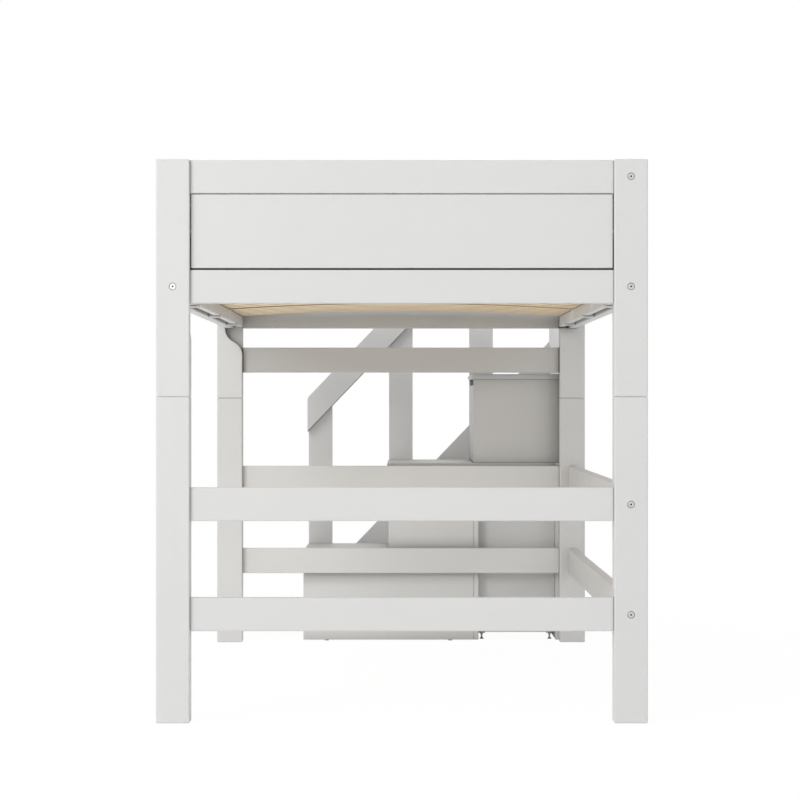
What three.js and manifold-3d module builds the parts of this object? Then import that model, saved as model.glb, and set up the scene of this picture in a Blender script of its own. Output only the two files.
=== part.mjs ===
// A painted high bed for a wide mattress, with a storage stair behind its far end. Four split posts
// carry the rails, the guard panels and an arched slat base. The stair has three steps with a drawer
// under each, a shelf cupboard on levelling feet, and a banister on its outer side.
// Millimetres, +Z up, +X to the right and +Y towards the stair. The origin is on the floor, in the
// middle of the footprint.

import * as THREE from 'three';
import { RoundedBoxGeometry } from 'three/addons/geometries/RoundedBoxGeometry.js';
import { mergeVertices } from 'three/addons/utils/BufferGeometryUtils.js';
import Module from 'manifold-3d';

const wasm = await Module();
wasm.setup();

// Bed frame
const bedWidth = 1320;
const bedLength = 2075;
const underBedHeight = 1127; // floor to the lower edge of the bed rails
const guardHeight = 387; // lower edge of the bed rails to the top of the posts
const postWidth = 90;
const postLayer = 30; // a post is two such layers deep
const postJointDrop = 251; // lower edge of the bed rails down to the joint in the posts
const cheekWidth = 28; // what stays of a post outside the side rails
const ogeeHeight = 98;
const railHeight = 90;
const endRailThickness = 28;
const endRailRecess = 10; // end rails lie this far behind the outer face of the posts
const sideRailThickness = 30;
const topRailDrop = 1.5; // top of the posts down to the top rails
const lowRailBottom = 246;
const midRailBottom = 542;
const easedEdge = 3;

// Joint pieces
const seatGap = 0.3;
const cutOverrun = 2;
const postPinRadius = 7;
const postPinLength = 40;
const boltHeadRadius = 10;
const boltHeadDepth = 5;
const dowelRadius = 5;
const dowelReach = 12;

// Guard panels
const panelThickness = 18;
const panelTopGap = 2;
const panelBottomGap = 5;
const panelEndGap = 3;
const panelRecess = 13; // outer face of an end panel behind the outer face of the posts
const tongueDepth = 12; // outer face of a panel back to its tongue
const tongueThickness = 5;
const panelDowelShares = [0.5, 0.85];

// Slat base
const ledgerWidth = 34; // from the side rail to its inner face
const ledgerHeight = 37;
const battenWidth = 21;
const spacerLength = 80;
const spacerDrop = 4.5; // how far the spacers reach below the batten
const spacerShares = [0.1, 0.483, 0.853]; // middles of the spacers along the ledger
const ledgerRise = 5; // lower edge of the ledgers above that of the rails
const slatWidth = 68;
const slatThickness = 10;
const slatArch = 21;
const slatEndGap = 1.5;
const slatDip = 0.9; // how far the bent ends reach below the ledgers' tops, beside the batten
const slatCounts = [6, 7, 6]; // slats in each section
const sectionGap = 100;
const tapeWidth = 25;
const tapeThickness = 3;
const tapePlaceShare = 0.6;

// Stair body
const stepCount = 3;
const stepRun = 307.5;
const stairBodyDepth = 478;
const stairBoard = 18;
const stairBoardEdge = 1.5;
const stairRailDrop = 69; // lower edge of the bed rail down to the rail over the top step
const topStepClearance = 5; // that rail down to the top step
const treadNose = 6;
const topStepExtra = 7; // the back panel lies this far past the last run
const floorClearance = 3;
const glideWidth = 14;
const glideInset = 84;
const cupboardRecess = 40;

// Drawers
const fingerGap = 21;
const drawerFrontGap = 2;
const drawerFloorGap = 3;
const drawerWall = 12;
const drawerFloor = 6;
const drawerSideGap = 3;
const drawerBackGap = 10;
const drawerRunGap = 0.4;
const drawerWallShare = 0.7;

// Levelling feet
const footHeight = 26;
const footFlangeRadius = 12.5;
const footFlangeThickness = 4;
const footStemRadius = 3.2;
const footPadRadius = 7.5;
const footPadEdge = 2;
const footPadHeight = 6; // its top tapers up to the stem
const footLeftInset = 13; // edges of the cupboard floor to the middles of the feet
const footRightInset = 18;
const footSetback = 21; // middle of a foot behind the face of the cupboard

// Banister
const banisterThickness = 28;
const uprightWidth = 90;
const banisterBoardWidth = 90; // across the slope
const handrailRise = 752; // lower edge of the stringer straight up to that of the handrail
const handrailOverhang = 4;
const handrailCorner = 26;
const uprightTopDrop = 30; // top edge of the handrail down to the uprights behind it

// Fineness of round forms
const edgeSteps = 1;
const roundSteps = 8;
const pinSides = 12;
const footSides = 16;
const archSteps = 14;
const mergeDistance = 0.001;

// Levels
const postTop = underBedHeight + guardHeight;
const postJoint = underBedHeight - postJointDrop;
const topRailBottom = postTop - topRailDrop - railHeight;
const stairRailBottom = underBedHeight - stairRailDrop - railHeight;
const panelBottom = underBedHeight + railHeight + panelBottomGap;
const panelTop = topRailBottom - panelTopGap;
const slatSeat = underBedHeight + ledgerRise + ledgerHeight - slatDip;
const stairTop = stairRailBottom - topStepClearance;
const stepRise = stairTop / stepCount;

// Places across and along
const postDepth = 2 * postLayer;
const stairDepth = stairBodyDepth + 2 * banisterThickness + 3 * seatGap;
const halfWidth = bedWidth / 2;
const postInner = halfWidth - postWidth;
const sideRailOuter = halfWidth - cheekWidth - seatGap;
const sideRailInner = sideRailOuter - sideRailThickness;
const nearEnd = -(bedLength + stairDepth) / 2;
const farEnd = nearEnd + bedLength;
const stairNear = farEnd + seatGap;
const stairFar = stairNear + stairBodyDepth;
const uprightNear = stairFar + seatGap;
const stringerNear = uprightNear + banisterThickness + seatGap;
const stairLeft = postInner - stepCount * stepRun;
const backPanelRight = postInner + topStepExtra;
const backPanelLeft = backPanelRight - stairBoard;
const cupboardNear = stairNear + cupboardRecess;
const banisterSlope = stepRise / stepRun;
const banisterBoardRise = banisterBoardWidth * Math.sqrt(1 + banisterSlope * banisterSlope);

const paint = { color: 0xe4e4e2, roughness: 0.45, metalness: 0 };
const birch = { color: 0xd2bc94, roughness: 0.6, metalness: 0 };
const zinc = { color: 0x6b6b69, roughness: 0.4, metalness: 0.9 };

const bed = new THREE.Group();

function addPiece(name, geometry, look) {
  const piece = new THREE.Mesh(geometry, new THREE.MeshStandardMaterial(look));
  piece.name = name;
  bed.add(piece);
  return piece;
}

function riserX(step) {
  return stairLeft + (step - 1) * stepRun;
}

// Solids for cutting and joining
function solidOf(geometry) {
  const bare = geometry.clone();
  bare.deleteAttribute('normal');
  bare.deleteAttribute('uv');
  const merged = mergeVertices(bare, mergeDistance);
  const vertProperties = new Float32Array(merged.attributes.position.array);
  const triVerts = new Uint32Array(merged.index.array);
  return new wasm.Manifold(new wasm.Mesh({ numProp: 3, vertProperties, triVerts }));
}

function geometryOf(solid) {
  const mesh = solid.getMesh();
  const geometry = new THREE.BufferGeometry();
  geometry.setAttribute('position', new THREE.BufferAttribute(mesh.vertProperties, 3));
  geometry.setIndex(new THREE.BufferAttribute(mesh.triVerts, 1));
  geometry.computeVertexNormals();
  return geometry;
}

function blockGeometry(low, high, edge) {
  const size = high.clone().sub(low);
  const geometry = edge
    ? new RoundedBoxGeometry(size.x, size.y, size.z, edgeSteps, edge)
    : new THREE.BoxGeometry(size.x, size.y, size.z);
  const middle = low.clone().add(high).divideScalar(2);
  return geometry.translate(middle.x, middle.y, middle.z);
}

function block(x, y, z, edge = 0) {
  const low = new THREE.Vector3(x[0], y[0], z[0]);
  const high = new THREE.Vector3(x[1], y[1], z[1]);
  return blockGeometry(low, high, edge);
}

function rod(radius, from, to) {
  const line = to.clone().sub(from);
  const geometry = new THREE.CylinderGeometry(radius, radius, line.length(), pinSides);
  const turn = new THREE.Quaternion();
  turn.setFromUnitVectors(new THREE.Vector3(0, 1, 0), line.clone().normalize());
  geometry.applyQuaternion(turn);
  const middle = from.clone().add(to).divideScalar(2);
  return geometry.translate(middle.x, middle.y, middle.z);
}

// An outline drawn in X and Z, made thick along Y
function plateAcross(outline, y) {
  const geometry = new THREE.ExtrudeGeometry(outline, { depth: y[1] - y[0], bevelEnabled: false });
  return geometry.rotateX(Math.PI / 2).translate(0, y[1], 0);
}

// An outline drawn in Y and Z, made thick along X
function plateAlong(outline, x) {
  const geometry = new THREE.ExtrudeGeometry(outline, { depth: x[1] - x[0], bevelEnabled: false });
  const turn = new THREE.Matrix4().makeBasis(
    new THREE.Vector3(0, 1, 0),
    new THREE.Vector3(0, 0, 1),
    new THREE.Vector3(1, 0, 0),
  );
  return geometry.applyMatrix4(turn).translate(x[0], 0, 0);
}

function shapeOf(points) {
  return new THREE.Shape(points.map(([across, up]) => new THREE.Vector2(across, up)));
}

function arcPoints(across, up, radius, from, to) {
  const points = [];
  for (let step = 0; step <= roundSteps; step += 1) {
    const angle = from + ((to - from) * step) / roundSteps;
    points.push([across + radius * Math.cos(angle), up + radius * Math.sin(angle)]);
  }
  return points;
}

function addBoard(name, x, y, z) {
  return addPiece(name, block(x, y, z, easedEdge), paint);
}

function addStairBoard(name, x, y, z) {
  return addPiece(name, block(x, y, z, stairBoardEdge), paint);
}

// Corners of the bed: inward and along point from the outer corner of a post to the bed's middle
const corners = [
  { name: 'near_left', inward: 1, along: 1, outerX: -halfWidth, outerY: nearEnd, ogee: true },
  { name: 'near_right', inward: -1, along: 1, outerX: halfWidth, outerY: nearEnd, ogee: false },
  { name: 'far_left', inward: 1, along: -1, outerX: -halfWidth, outerY: farEnd, ogee: true },
  { name: 'far_right', inward: -1, along: -1, outerX: halfWidth, outerY: farEnd, ogee: false },
];

function ordered(a, b) {
  return [Math.min(a, b), Math.max(a, b)];
}

function postSpanX(corner, from, to) {
  return ordered(corner.outerX + corner.inward * from, corner.outerX + corner.inward * to);
}

function postSpanY(corner, from, to) {
  return ordered(corner.outerY + corner.along * from, corner.outerY + corner.along * to);
}

function postPoint(corner, across, deep, up) {
  return new THREE.Vector3(
    corner.outerX + corner.inward * across,
    corner.outerY + corner.along * deep,
    up,
  );
}

function boltSeat(corner, up) {
  const outside = postPoint(corner, postWidth / 2, -cutOverrun, up);
  const inside = postPoint(corner, postWidth / 2, boltHeadDepth, up);
  return solidOf(rod(boltHeadRadius, outside, inside));
}

function boltLevels(corner) {
  const middle = railHeight / 2;
  const bedRail = underBedHeight + middle;
  return corner.ogee
    ? [bedRail]
    : [bedRail, topRailBottom + middle, midRailBottom + middle, lowRailBottom + middle];
}

// The recess over the shoulder of an upper post, where the side rails lie inside the cheek. On the
// open side of the bed an ogee leads up to it; on the other side the shoulder is square.
function cheekOutline(corner) {
  const inner = postWidth + cutOverrun;
  const top = postTop + cutOverrun;
  const sweep = 2 * Math.atan((postWidth - cheekWidth) / ogeeHeight);
  const radius = ogeeHeight / (2 * Math.sin(sweep));
  const foot = underBedHeight - ogeeHeight;
  const upper = arcPoints(cheekWidth + radius, underBedHeight, radius, Math.PI, Math.PI + sweep);
  const lower = arcPoints(postWidth - radius, foot, radius, sweep, 0);
  const shoulder = corner.ogee
    ? [...upper, ...lower.slice(1), [inner, foot]]
    : [[cheekWidth, underBedHeight], [inner, underBedHeight]];
  const points = [[cheekWidth, top], ...shoulder, [inner, top]];
  return shapeOf(points.map(([across, up]) => [corner.outerX + corner.inward * across, up]));
}

function panelDowelLevels() {
  return panelDowelShares.map((share) => panelBottom + share * (panelTop - panelBottom));
}

const endPanelMiddle = panelRecess + panelThickness / 2;
const sidePanelMiddle = cheekWidth + seatGap + sideRailThickness / 2;

function panelDowelHoles(corner) {
  const radius = dowelRadius + seatGap;
  const holes = [];
  for (const up of panelDowelLevels()) {
    const endFrom = postPoint(corner, postWidth + cutOverrun, endPanelMiddle, up);
    const endTo = postPoint(corner, postWidth - dowelReach - seatGap, endPanelMiddle, up);
    holes.push(solidOf(rod(radius, endFrom, endTo)));
    const sideFrom = postPoint(corner, sidePanelMiddle, postLayer + cutOverrun, up);
    const sideTo = postPoint(corner, sidePanelMiddle, postLayer - dowelReach - seatGap, up);
    holes.push(solidOf(rod(radius, sideFrom, sideTo)));
  }
  return holes;
}

function addUpperPost(corner) {
  const x = postSpanX(corner, 0, postWidth);
  const y = postSpanY(corner, 0, postDepth);
  let solid = solidOf(block(x, y, [postJoint, postTop], easedEdge));
  const innerLayer = postSpanY(corner, postLayer, postDepth + cutOverrun);
  solid = solid.subtract(solidOf(plateAcross(cheekOutline(corner), innerLayer)));
  const pinFrom = postPoint(corner, postWidth / 2, postLayer / 2, postJoint - cutOverrun);
  const pinTo = postPoint(corner, postWidth / 2, postLayer / 2, postJoint + postPinLength + seatGap);
  solid = solid.subtract(solidOf(rod(postPinRadius + seatGap, pinFrom, pinTo)));
  for (const hole of panelDowelHoles(corner)) {
    solid = solid.subtract(hole);
  }
  for (const up of boltLevels(corner).filter((level) => level > postJoint)) {
    solid = solid.subtract(boltSeat(corner, up));
  }
  addPiece(`upper_post_${corner.name}`, geometryOf(solid), paint);
}

function addLowerPost(corner) {
  const x = postSpanX(corner, 0, postWidth);
  const y = postSpanY(corner, 0, postDepth);
  const top = postJoint - seatGap;
  let solid = solidOf(block(x, y, [0, top], easedEdge));
  const pinFrom = postPoint(corner, postWidth / 2, postLayer / 2, top - postPinLength);
  const pinTo = postPoint(corner, postWidth / 2, postLayer / 2, postJoint + postPinLength);
  solid = solid.add(solidOf(rod(postPinRadius, pinFrom, pinTo)));
  for (const up of boltLevels(corner).filter((level) => level < postJoint)) {
    solid = solid.subtract(boltSeat(corner, up));
  }
  addPiece(`lower_post_${corner.name}`, geometryOf(solid), paint);
}

function railSpan(bottom) {
  return [bottom, bottom + railHeight];
}

const betweenPosts = [-postInner + seatGap, postInner - seatGap];
const nearRailY = [nearEnd + endRailRecess, nearEnd + endRailRecess + endRailThickness];
const farRailY = [farEnd - endRailRecess - endRailThickness, farEnd - endRailRecess];
const betweenLayers = [nearEnd + postLayer + seatGap, farEnd - postLayer - seatGap];
const betweenPostDepths = [nearEnd + postDepth + seatGap, farEnd - postDepth - seatGap];

function addNearEnd() {
  addBoard('near_low_rail', betweenPosts, nearRailY, railSpan(lowRailBottom));
  addBoard('near_mid_rail', betweenPosts, nearRailY, railSpan(midRailBottom));
  addBoard('near_bed_rail', betweenPosts, nearRailY, railSpan(underBedHeight));
  addBoard('near_top_rail', betweenPosts, nearRailY, railSpan(topRailBottom));
}

// The far end is open over its right part, where the top step leads onto the bed
const entryLeft = riserX(stepCount);
const guardUprightX = [entryLeft - postWidth, entryLeft];
const farGuardSpan = [-postInner + seatGap, guardUprightX[0] - seatGap];

function guardPin(low, high, grow) {
  const across = (guardUprightX[0] + guardUprightX[1]) / 2;
  const deep = (farRailY[0] + farRailY[1]) / 2;
  const from = new THREE.Vector3(across, deep, low);
  const to = new THREE.Vector3(across, deep, high);
  return solidOf(rod(dowelRadius + grow, from, to));
}

function addFarEnd() {
  addBoard('far_low_rail', betweenPosts, farRailY, railSpan(lowRailBottom));
  addBoard('far_mid_rail', betweenPosts, farRailY, railSpan(midRailBottom));
  addBoard('far_stair_rail', betweenPosts, farRailY, railSpan(stairRailBottom));
  addBoard('far_top_rail', farGuardSpan, farRailY, railSpan(topRailBottom));
  const railTop = underBedHeight + railHeight;
  const rail = solidOf(block(betweenPosts, farRailY, railSpan(underBedHeight), easedEdge));
  const hole = guardPin(railTop - dowelReach - seatGap, railTop + cutOverrun, seatGap);
  addPiece('far_bed_rail', geometryOf(rail.subtract(hole)), paint);
}

function addGuardUpright() {
  const bottom = underBedHeight + railHeight + seatGap;
  const z = [bottom, topRailBottom + railHeight];
  let solid = solidOf(block(guardUprightX, farRailY, z, easedEdge));
  solid = solid.add(guardPin(bottom - dowelReach, bottom + dowelReach, 0));
  const deep = farEnd - endPanelMiddle;
  for (const up of panelDowelLevels()) {
    const from = new THREE.Vector3(guardUprightX[0] - cutOverrun, deep, up);
    const to = new THREE.Vector3(guardUprightX[0] + dowelReach + seatGap, deep, up);
    solid = solid.subtract(solidOf(rod(dowelRadius + seatGap, from, to)));
  }
  addPiece('far_guard_upright', geometryOf(solid), paint);
}

// A guard panel is a raised field on a thin tongue. The tongue closes the opening between the rails,
// and dowels in the ends carry the panel.
const fieldZ = [panelBottom, panelTop];
const tongueZ = [underBedHeight + railHeight + seatGap, topRailBottom - seatGap];

function panelLayer(middle, outward, from, to) {
  const face = middle + (outward * panelThickness) / 2;
  return ordered(face - outward * from, face - outward * to);
}

function fieldLayer(middle, outward) {
  return panelLayer(middle, outward, 0, panelThickness);
}

function tongueLayer(middle, outward) {
  return panelLayer(middle, outward, tongueDepth, tongueDepth + tongueThickness);
}

function panelDowel(at, direction) {
  const from = at.clone().addScaledVector(direction, -dowelReach);
  const to = at.clone().addScaledVector(direction, panelEndGap + dowelReach);
  return solidOf(rod(dowelRadius, from, to));
}

function addEndPanel(name, span, middle, outward) {
  const x = [span[0] + panelEndGap, span[1] - panelEndGap];
  const tongueX = [span[0] + seatGap, span[1] - seatGap];
  const raised = block(x, fieldLayer(middle, outward), fieldZ, stairBoardEdge);
  const tongue = block(tongueX, tongueLayer(middle, outward), tongueZ);
  let solid = solidOf(raised).add(solidOf(tongue));
  for (const up of panelDowelLevels()) {
    const leftEnd = new THREE.Vector3(x[0], middle, up);
    const rightEnd = new THREE.Vector3(x[1], middle, up);
    solid = solid.add(panelDowel(leftEnd, new THREE.Vector3(-1, 0, 0)));
    solid = solid.add(panelDowel(rightEnd, new THREE.Vector3(1, 0, 0)));
  }
  addPiece(name, geometryOf(solid), paint);
}

function addSidePanel(name, side) {
  const middle = side * (halfWidth - sidePanelMiddle);
  const y = [betweenLayers[0] - seatGap + panelEndGap, betweenLayers[1] + seatGap - panelEndGap];
  const raised = block(fieldLayer(middle, side), y, fieldZ, stairBoardEdge);
  const tongue = block(tongueLayer(middle, side), betweenLayers, tongueZ);
  let solid = solidOf(raised).add(solidOf(tongue));
  for (const up of panelDowelLevels()) {
    const nearSide = new THREE.Vector3(middle, y[0], up);
    const farSide = new THREE.Vector3(middle, y[1], up);
    solid = solid.add(panelDowel(nearSide, new THREE.Vector3(0, -1, 0)));
    solid = solid.add(panelDowel(farSide, new THREE.Vector3(0, 1, 0)));
  }
  addPiece(name, geometryOf(solid), paint);
}

function addPanels() {
  const farSpan = [-postInner, guardUprightX[0]];
  addEndPanel('near_panel', [-postInner, postInner], nearEnd + endPanelMiddle, -1);
  addEndPanel('far_panel', farSpan, farEnd - endPanelMiddle, 1);
  addSidePanel('left_panel', -1);
  addSidePanel('right_panel', 1);
}

function sideRailX(side) {
  return ordered(side * sideRailInner, side * sideRailOuter);
}

function addSideRails() {
  const bedRailZ = [underBedHeight + seatGap, underBedHeight + railHeight];
  for (const [name, side] of [['left', -1], ['right', 1]]) {
    addBoard(`${name}_bed_rail`, sideRailX(side), betweenLayers, bedRailZ);
    addBoard(`${name}_top_rail`, sideRailX(side), betweenLayers, railSpan(topRailBottom));
  }
  addBoard('right_mid_rail', sideRailX(1), betweenPostDepths, railSpan(midRailBottom));
  addBoard('right_low_rail', sideRailX(1), betweenPostDepths, railSpan(lowRailBottom));
}

const ledgerInner = sideRailInner - seatGap - ledgerWidth;

// A ledger is a batten that keeps clear of the side rail but for three spacers round it
function addLedgers() {
  const bottom = underBedHeight + ledgerRise;
  const top = bottom + ledgerHeight;
  const rail = sideRailInner - seatGap;
  const length = betweenPostDepths[1] - betweenPostDepths[0];
  for (const [name, side] of [['left', -1], ['right', 1]]) {
    const battenX = ordered(side * ledgerInner, side * (ledgerInner + battenWidth));
    const spacerX = ordered(side * ledgerInner, side * rail);
    let solid = solidOf(block(battenX, betweenPostDepths, [bottom, top], easedEdge));
    for (const share of spacerShares) {
      const middle = betweenPostDepths[0] + share * length;
      const y = [middle - spacerLength / 2, middle + spacerLength / 2];
      solid = solid.add(solidOf(block(spacerX, y, [bottom - spacerDrop, top - easedEdge])));
    }
    addPiece(`${name}_ledger`, geometryOf(solid), paint);
  }
}

// A bent slat: two arcs over one chord, cut square at its ends
function slatOutline() {
  const reach = sideRailInner - slatEndGap;
  const radius = (reach * reach + slatArch * slatArch) / (2 * slatArch);
  const middleZ = slatSeat + seatGap + slatArch - radius;
  const points = [];
  for (let step = 0; step <= archSteps; step += 1) {
    const across = -reach + (2 * reach * step) / archSteps;
    points.push([across, middleZ + Math.sqrt(radius * radius - across * across)]);
  }
  const upper = points.map(([across, up]) => [across, up + slatThickness]).reverse();
  return { outline: shapeOf([...points, ...upper]), reach, radius, middleZ };
}

function tape(slat, side, y) {
  const middle = side * tapePlaceShare * slat.reach;
  const x = [middle - tapeWidth / 2, middle + tapeWidth / 2];
  const outerEdge = Math.abs(middle) + tapeWidth / 2;
  const innerEdge = Math.abs(middle) - tapeWidth / 2;
  const lowFace = Math.sqrt(slat.radius * slat.radius - outerEdge * outerEdge);
  const highFace = Math.sqrt(slat.radius * slat.radius - innerEdge * innerEdge);
  const bottom = slat.middleZ + lowFace + slatThickness - tapeThickness / 2;
  const top = slat.middleZ + highFace + slatThickness + tapeThickness / 2;
  return solidOf(block(x, y, [bottom, top]));
}

function totalOf(values) {
  return values.reduce((sum, value) => sum + value, 0);
}

function slatPitch() {
  const gaps = totalOf(slatCounts.map((count) => count - 1));
  const fixed = (slatCounts.length - 1) * sectionGap + slatCounts.length * slatWidth;
  return (betweenPostDepths[1] - betweenPostDepths[0] - fixed) / gaps;
}

// Each section is a run of slats held at equal distances by two woven tapes
function addSlatSection(section) {
  const pitch = slatPitch();
  const lengths = slatCounts.map((count) => (count - 1) * pitch + slatWidth);
  const start = betweenPostDepths[0] + section * sectionGap + totalOf(lengths.slice(0, section));
  const slat = slatOutline();
  const tapeSpan = [start, start + lengths[section]];
  let solid = tape(slat, -1, tapeSpan).add(tape(slat, 1, tapeSpan));
  for (let index = 0; index < slatCounts[section]; index += 1) {
    const low = start + index * pitch;
    solid = solid.add(solidOf(plateAcross(slat.outline, [low, low + slatWidth])));
  }
  addPiece(`slat_section_${section + 1}`, geometryOf(solid), birch);
}

// Stair sides: one stepped board each, with two glides under it
const stairDivider = [riserX(stepCount), riserX(stepCount) + stairBoard];

function underTread(step) {
  return step * stepRise - stairBoard;
}

function glidePoints(middle) {
  const left = middle - glideWidth / 2;
  const right = middle + glideWidth / 2;
  return [[left, floorClearance], [left, 0], [right, 0], [right, floorClearance]];
}

function steppedOutline() {
  const left = stairLeft;
  const right = stairDivider[0] - seatGap;
  const points = [
    [left, floorClearance],
    ...glidePoints(left + glideInset),
    ...glidePoints(right - glideInset),
    [right, floorClearance],
  ];
  for (let step = stepCount - 1; step >= 1; step -= 1) {
    const edge = step === stepCount - 1 ? right : riserX(step + 1);
    points.push([edge, underTread(step) - seatGap]);
    points.push([riserX(step), underTread(step) - seatGap]);
  }
  return shapeOf(points);
}

const nearBoardY = [stairNear, stairNear + stairBoard];
const farBoardY = [stairFar - stairBoard, stairFar];
const insideY = [nearBoardY[1] + seatGap, farBoardY[0] - seatGap];

function addStairSides() {
  addPiece('stair_side_near', plateAcross(steppedOutline(), nearBoardY), paint);
  addPiece('stair_side_far', plateAcross(steppedOutline(), farBoardY), paint);
}

// Treads have a full round nose; the lower ones run on inside the stair as the shelf of a drawer
function treadSolid(step, right) {
  const top = step * stepRise;
  const radius = stairBoard / 2;
  const nose = riserX(step) - treadNose + radius;
  const points = arcPoints(nose, top - radius, radius, Math.PI / 2, (3 * Math.PI) / 2);
  const outline = shapeOf([[right, top], ...points, [right, top - stairBoard]]);
  return solidOf(plateAcross(outline, [stairNear, stairFar]));
}

function addTreads() {
  for (let step = 1; step < stepCount; step += 1) {
    const last = step === stepCount - 1;
    const right = last ? backPanelLeft - seatGap : stairDivider[0] - seatGap;
    let solid = treadSolid(step, right);
    if (!last) {
      const x = [riserX(step + 1) - seatGap, right + cutOverrun];
      const z = [underTread(step) - cutOverrun, step * stepRise + cutOverrun];
      const nearCut = block(x, [stairNear - cutOverrun, nearBoardY[1] + seatGap], z);
      const farCut = block(x, [farBoardY[0] - seatGap, stairFar + cutOverrun], z);
      solid = solid.subtract(solidOf(nearCut)).subtract(solidOf(farCut));
    }
    addPiece(`tread_${step}`, geometryOf(solid), paint);
  }
  const topTread = treadSolid(stepCount, backPanelRight);
  addPiece(`tread_${stepCount}`, geometryOf(topTread), paint);
}

function addStairInside() {
  const low = stepCount - 1;
  const shelfBottom = underTread(low) - seatGap;
  const floorX = [stairLeft + stairBoard + seatGap, stairDivider[0] - seatGap];
  const floorZ = [floorClearance, floorClearance + stairBoard];
  addStairBoard('stair_floor', floorX, insideY, floorZ);
  addStairBoard('stair_divider', stairDivider, [stairNear, stairFar], [floorClearance, shelfBottom]);
}

function addTopBox() {
  const bottom = (stepCount - 1) * stepRise + seatGap;
  const top = underTread(stepCount) - seatGap;
  const x = [riserX(stepCount), backPanelRight];
  addStairBoard('top_box_side_near', x, nearBoardY, [bottom, top]);
  addStairBoard('top_box_side_far', x, farBoardY, [bottom, top]);
}

// The back panel is full width up to the top box and stands between the box's sides above
function addBackPanel() {
  const bottom = (stepCount - 1) * stepRise;
  const top = underTread(stepCount) - seatGap;
  const outline = shapeOf([
    [stairNear, floorClearance],
    [stairFar, floorClearance],
    [stairFar, bottom],
    [insideY[1], bottom],
    [insideY[1], top],
    [insideY[0], top],
    [insideY[0], bottom],
    [stairNear, bottom],
  ]);
  addPiece('stair_back_panel', plateAlong(outline, [backPanelLeft, backPanelRight]), paint);
}

const cupboardX = [stairDivider[1] + seatGap, backPanelLeft - seatGap];
const cupboardFloorZ = [footHeight + seatGap, footHeight + seatGap + stairBoard];

function addCupboard() {
  const floorY = [cupboardNear, stairFar];
  const wallY = [cupboardNear, cupboardNear + stairBoard];
  const wallZ = [cupboardFloorZ[1] + seatGap, underTread(stepCount - 1) - seatGap];
  addStairBoard('cupboard_floor', cupboardX, floorY, cupboardFloorZ);
  addStairBoard('cupboard_wall', cupboardX, wallY, wallZ);
}

function footProfile() {
  const flangeBottom = footHeight - footFlangeThickness;
  return [
    new THREE.Vector2(0, 0),
    new THREE.Vector2(footPadRadius, 0),
    new THREE.Vector2(footPadRadius, footPadEdge),
    new THREE.Vector2(footStemRadius, footPadHeight),
    new THREE.Vector2(footStemRadius, flangeBottom),
    new THREE.Vector2(footFlangeRadius, flangeBottom),
    new THREE.Vector2(footFlangeRadius, footHeight),
    new THREE.Vector2(0, footHeight),
  ];
}

function addLevellingFeet() {
  const left = cupboardX[0] + footLeftInset;
  const right = cupboardX[1] - footRightInset;
  const places = [
    ['near_left', left, cupboardNear + footSetback],
    ['near_right', right, cupboardNear + footSetback],
    ['far_left', left, stairFar - footSetback],
    ['far_right', right, stairFar - footSetback],
  ];
  for (const [name, x, y] of places) {
    const geometry = new THREE.LatheGeometry(footProfile(), footSides);
    geometry.rotateX(Math.PI / 2);
    const foot = addPiece(`levelling_foot_${name}`, geometry, zinc);
    foot.position.set(x, y, 0);
  }
}

// A drawer: its front closes the riser between the stair's sides and leaves a finger gap on top
function addDrawer(step) {
  const left = riserX(step);
  const shelfTop = step === 1 ? floorClearance + stairBoard : (step - 1) * stepRise;
  const frontTop = underTread(step) - fingerGap;
  const frontY = [nearBoardY[1] + drawerFrontGap, farBoardY[0] - drawerFrontGap];
  const frontZ = [shelfTop + drawerFloorGap, frontTop];
  const wallLeft = step === stepCount ? backPanelLeft : stairDivider[0];
  const trayX = [left + stairBoard / 2, wallLeft - drawerBackGap];
  const trayY = [nearBoardY[1] + drawerSideGap, farBoardY[0] - drawerSideGap];
  const trayTop = shelfTop + drawerWallShare * (frontTop - shelfTop);
  const trayZ = [shelfTop + drawerRunGap, trayTop];
  const hollowX = [left + stairBoard, trayX[1] - drawerWall];
  const hollowY = [trayY[0] + drawerWall, trayY[1] - drawerWall];
  const hollowZ = [trayZ[0] + drawerFloor, trayTop + cutOverrun];
  const front = solidOf(block([left, left + stairBoard], frontY, frontZ, stairBoardEdge));
  const tray = solidOf(block(trayX, trayY, trayZ)).subtract(solidOf(block(hollowX, hollowY, hollowZ)));
  addPiece(`drawer_${step}`, geometryOf(front.add(tray)), paint);
}

// Banister: uprights outside the stair, a handrail on their inner face, a stringer on their outer one
function stringerLow(x) {
  return banisterSlope * (x - stairLeft);
}

function handrailLow(x) {
  return handrailRise + stringerLow(x);
}

function handrailHigh(x) {
  return handrailLow(x) + banisterBoardRise;
}

const lastUprightRight = postInner + uprightWidth;

function uprightX(index) {
  return [riserX(index), riserX(index) + uprightWidth];
}

function addUprights() {
  const y = [uprightNear, uprightNear + banisterThickness];
  for (let index = 1; index < stepCount; index += 1) {
    const [left, right] = uprightX(index);
    const outline = shapeOf([
      [left, 0],
      [right, 0],
      [right, handrailHigh(right) - uprightTopDrop],
      [left, handrailHigh(left) - uprightTopDrop],
    ]);
    addPiece(`upright_${index}`, plateAcross(outline, y), paint);
  }
  for (let index = stepCount; index <= stepCount + 1; index += 1) {
    addBoard(`upright_${index}`, uprightX(index), y, [0, postTop]);
  }
}

// The handrail meets the level landing rail in a mitre, on the third upright
const handrailY = [uprightNear - seatGap - banisterThickness, uprightNear - seatGap];
const landingZ = railSpan(topRailBottom);
const mitreLow = stairLeft + (landingZ[0] - handrailRise) / banisterSlope;
const mitreHigh = stairLeft + (landingZ[1] - handrailRise - banisterBoardRise) / banisterSlope;

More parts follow.
